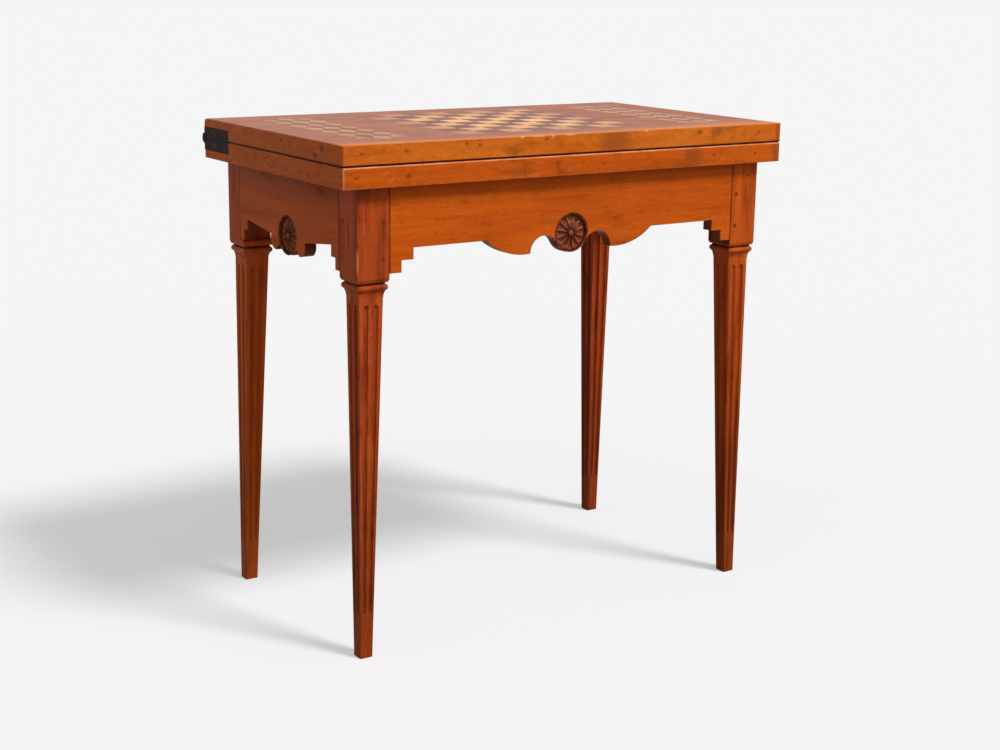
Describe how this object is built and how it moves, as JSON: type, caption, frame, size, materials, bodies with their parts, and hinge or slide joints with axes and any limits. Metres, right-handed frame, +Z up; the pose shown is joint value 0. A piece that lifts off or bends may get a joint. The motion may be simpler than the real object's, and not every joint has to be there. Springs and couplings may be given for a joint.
{
  "type": "folding games table",
  "caption": "Fold-over games table with an inlaid chessboard top, scalloped aprons with carved rosettes and fluted tapering legs, one of which swings out to carry the opened leaf.",
  "frame": {"origin": "centre of the closed table's outline, on the floor", "axes": "+X to the right along the leaf, +Y to the back where the leaf hinges, +Z up"},
  "size_m": [0.7994, 0.4616, 0.76],
  "materials": {
    "leaf_wood": "waxed",
    "frame_wood": "waxed",
    "leg_wood": "waxed",
    "carved_wood": "waxed",
    "light_veneer": "polished",
    "dark_veneer": "polished",
    "ground_veneer": "polished",
    "peg_wood": "end grain",
    "softwood": "bare",
    "iron": "blackened"
  },
  "bodies": {
    "frame": {"lower_leaf": "leaf_wood", "front_apron": "frame_wood", "left_apron": "frame_wood", "right_apron": "frame_wood", "inner_back_rail": "frame_wood", "outer_back_rail": "frame_wood", "front_left_leg": "leg_wood", "front_right_leg": "leg_wood", "rear_right_leg": "leg_wood", "rosette_front": "carved_wood", "rosette_left": "carved_wood", "rosette_right": "carved_wood", "tenon_pegs": "peg_wood", "glue_blocks": "softwood", "knuckle_pin": "iron", "lower_hinge_plate_left": "iron", "lower_hinge_plate_right": "iron", "hinge_pin_left": "iron", "hinge_pin_right": "iron", "lower_hinge_screws": "iron"},
    "leaf": {"upper_leaf": "leaf_wood", "light_squares": "light_veneer", "dark_squares": "dark_veneer", "light_lozenges": "light_veneer", "dark_lozenges": "dark_veneer", "edge_lozenges": "ground_veneer", "upper_hinge_plate_left": "iron", "upper_hinge_plate_right": "iron", "upper_hinge_screws": "iron"},
    "swing_leg": {"fly_rail": "frame_wood", "rear_left_leg": "leg_wood", "swing_leg_pegs": "peg_wood"}
  },
  "joints": [
    {"name": "leaf_fold", "type": "hinge", "parent": "frame", "child": "leaf", "pos_m": [0, 0.22235, 0.7293], "axis": [-1, 0, 0], "range_deg": [0, 180]},
    {"name": "leg_swing", "type": "hinge", "parent": "frame", "child": "swing_leg", "pos_m": [0, 0.17465, 0.65], "axis": [0, 0, -1], "range_deg": [0, 90]}
  ]
}
